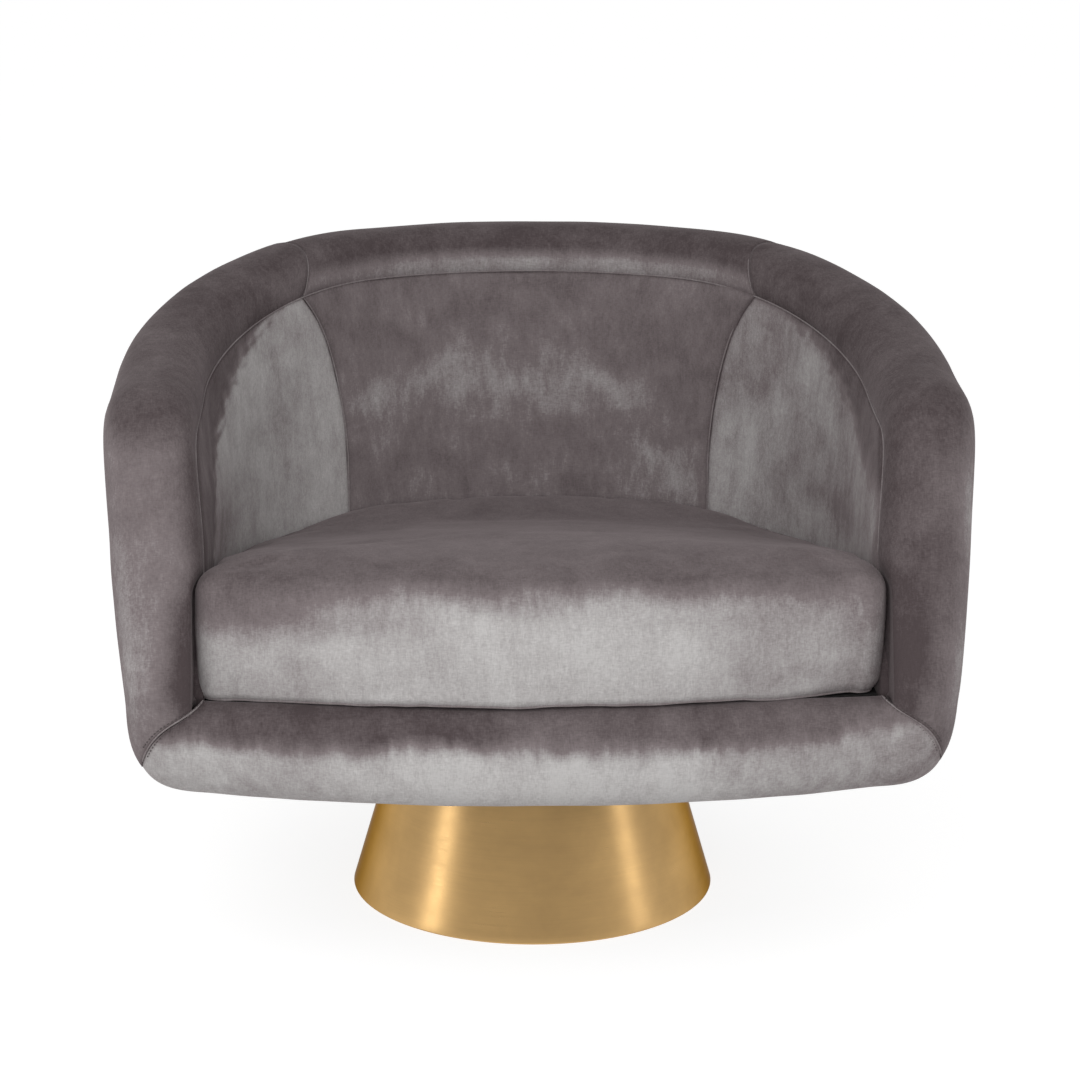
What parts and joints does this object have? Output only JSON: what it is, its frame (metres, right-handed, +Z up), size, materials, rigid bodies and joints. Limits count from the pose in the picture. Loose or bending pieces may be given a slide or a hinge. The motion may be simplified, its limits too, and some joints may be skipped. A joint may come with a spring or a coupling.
{
  "type": "swivel tub armchair",
  "caption": "Wide velvet tub armchair with a padded rolled rim, a loose seat cushion and a conical brushed metal pedestal that swivels.",
  "frame": {"origin": "on the floor at the pedestal's axis, which is the middle of the chair's width and depth", "axes": "+Z up, -Y towards the front that the sitter faces, +X to the right as seen from the front"},
  "size_m": [1.0158, 0.88, 0.794],
  "materials": {
    "velvet": "mauve-grey crushed velvet, nap silvery where it faces forward and darker where it faces up",
    "brushed_brass": "satin brushed brass",
    "steel": "zinc plated",
    "dark_steel": "black painted steel",
    "plywood": "bare plywood",
    "timber": "bare softwood",
    "webbing": "woven black cloth",
    "glide_felt": "dark felt"
  },
  "bodies": {
    "pedestal": {"base_cone": "brushed_brass", "base_plate": "dark_steel", "glide_1": "glide_felt", "glide_2": "glide_felt", "glide_3": "glide_felt", "glide_4": "glide_felt", "column": "dark_steel", "top_plate": "dark_steel", "swivel_lower_plate": "steel", "swivel_pin": "steel", "lower_bolt_1": "steel", "lower_bolt_2": "steel", "lower_bolt_3": "steel", "lower_bolt_4": "steel"},
    "ball_cage": {"ball_cage": "steel"},
    "tub": {"swivel_upper_plate": "steel", "upper_bolt_1": "steel", "upper_bolt_2": "steel", "upper_bolt_3": "steel", "upper_bolt_4": "steel", "seat_board": "plywood", "dust_cover": "webbing", "front_rail": "timber", "back_rail": "plywood", "back_top_rail": "plywood", "spring_1": "dark_steel", "spring_2": "dark_steel", "spring_3": "dark_steel", "spring_4": "dark_steel", "spring_5": "dark_steel", "deck": "webbing", "back_stud_1": "timber", "back_stud_2": "timber", "back_stud_3": "timber", "side_rail_left": "plywood", "corner_block_left": "timber", "arm_rail_left": "plywood", "arm_post_left": "plywood", "side_stud_left_1": "timber", "side_stud_left_2": "timber", "inside_left": "velvet", "outside_left": "velvet", "roll_left": "velvet", "side_rail_right": "plywood", "corner_block_right": "timber", "arm_rail_right": "plywood", "arm_post_right": "plywood", "side_stud_right_1": "timber", "side_stud_right_2": "timber", "inside_right": "velvet", "outside_right": "velvet", "roll_right": "velvet", "inside_back": "velvet", "outside_back": "velvet", "roll_back": "velvet", "front_cover": "velvet"},
    "cushion": {"seat_cushion": "velvet"}
  },
  "joints": [
    {"name": "swivel", "type": "hinge", "parent": "pedestal", "child": "tub", "pos_m": [0, 0, 0.2395], "axis": [0, 0, 1], "continuous": true},
    {"name": "cage_spin", "type": "hinge", "parent": "pedestal", "child": "ball_cage", "pos_m": [0, 0, 0.2395], "axis": [0, 0, 1], "continuous": true},
    {"name": "cushion_lift", "type": "slide", "parent": "tub", "child": "cushion", "axis": [0, 0, 1], "range_m": [0, 0.3]}
  ],
  "couplings": [
    {"joint": "cage_spin", "follows": "swivel", "ratio": 0.5}
  ]
}
